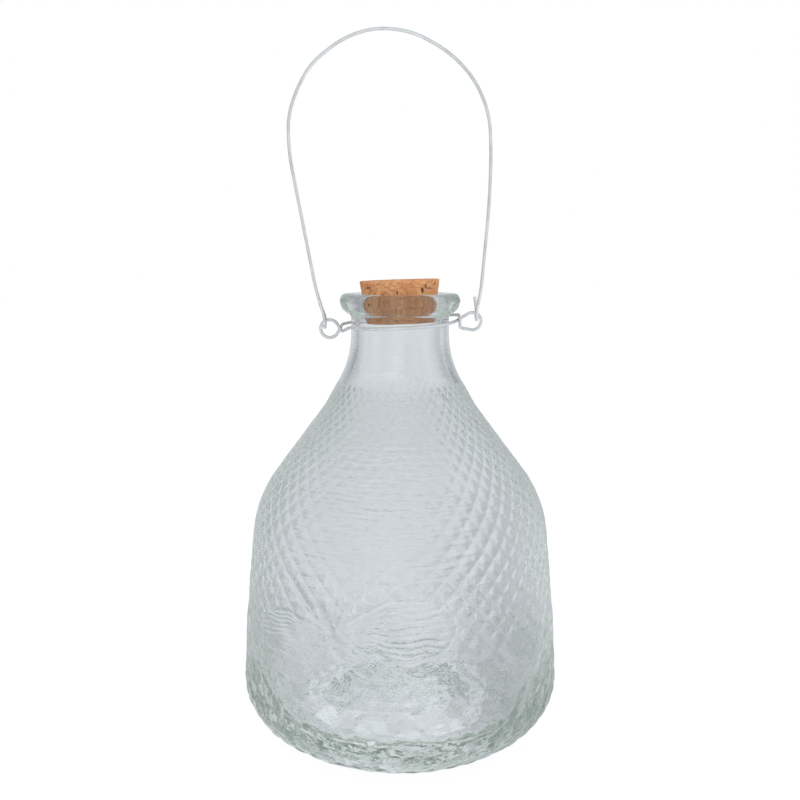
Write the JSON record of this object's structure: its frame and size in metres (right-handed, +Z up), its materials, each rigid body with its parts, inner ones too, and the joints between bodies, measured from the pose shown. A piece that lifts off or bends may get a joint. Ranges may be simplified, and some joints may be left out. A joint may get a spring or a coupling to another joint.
{
  "type": "hanging glass trap bottle",
  "caption": "Pear-shaped pressed-glass hanging bottle with a tapered cork, a wire collar with two eyes and a wire bail.",
  "frame": {"origin": "centre of the base ring, on the surface that the bottle stands on", "axes": "+Z up along the bottle's axis, +X towards the right-hand eye of the neck wire, -Y towards the front"},
  "size_m": [0.1401, 0.1402, 0.2999],
  "materials": {
    "glass": "clear pressed glass with a faint blue-green tint",
    "cork": "agglomerated natural cork, matt",
    "galvanised_wire": "galvanised steel wire, satin"
  },
  "bodies": {
    "bottle": {"glass_bottle": "glass"},
    "stopper": {"cork_stopper": "cork"},
    "collar": {"neck_wire": "galvanised_wire"},
    "bail": {"bail_wire": "galvanised_wire"}
  },
  "joints": [
    {"name": "stopper_lift", "type": "slide", "parent": "bottle", "child": "stopper", "axis": [-0.0314, 0, 0.9995], "range_m": [0, 0.04]},
    {"name": "collar_swivel", "type": "hinge", "parent": "bottle", "child": "collar", "pos_m": [0, 0, 0.1791], "axis": [0, 0, 1], "continuous": true},
    {"name": "bail_swing", "type": "hinge", "parent": "collar", "child": "bail", "pos_m": [-0.0326, 0, 0.1795], "axis": [0.9987, 0, 0.0502], "range_deg": [-135, 135]}
  ]
}
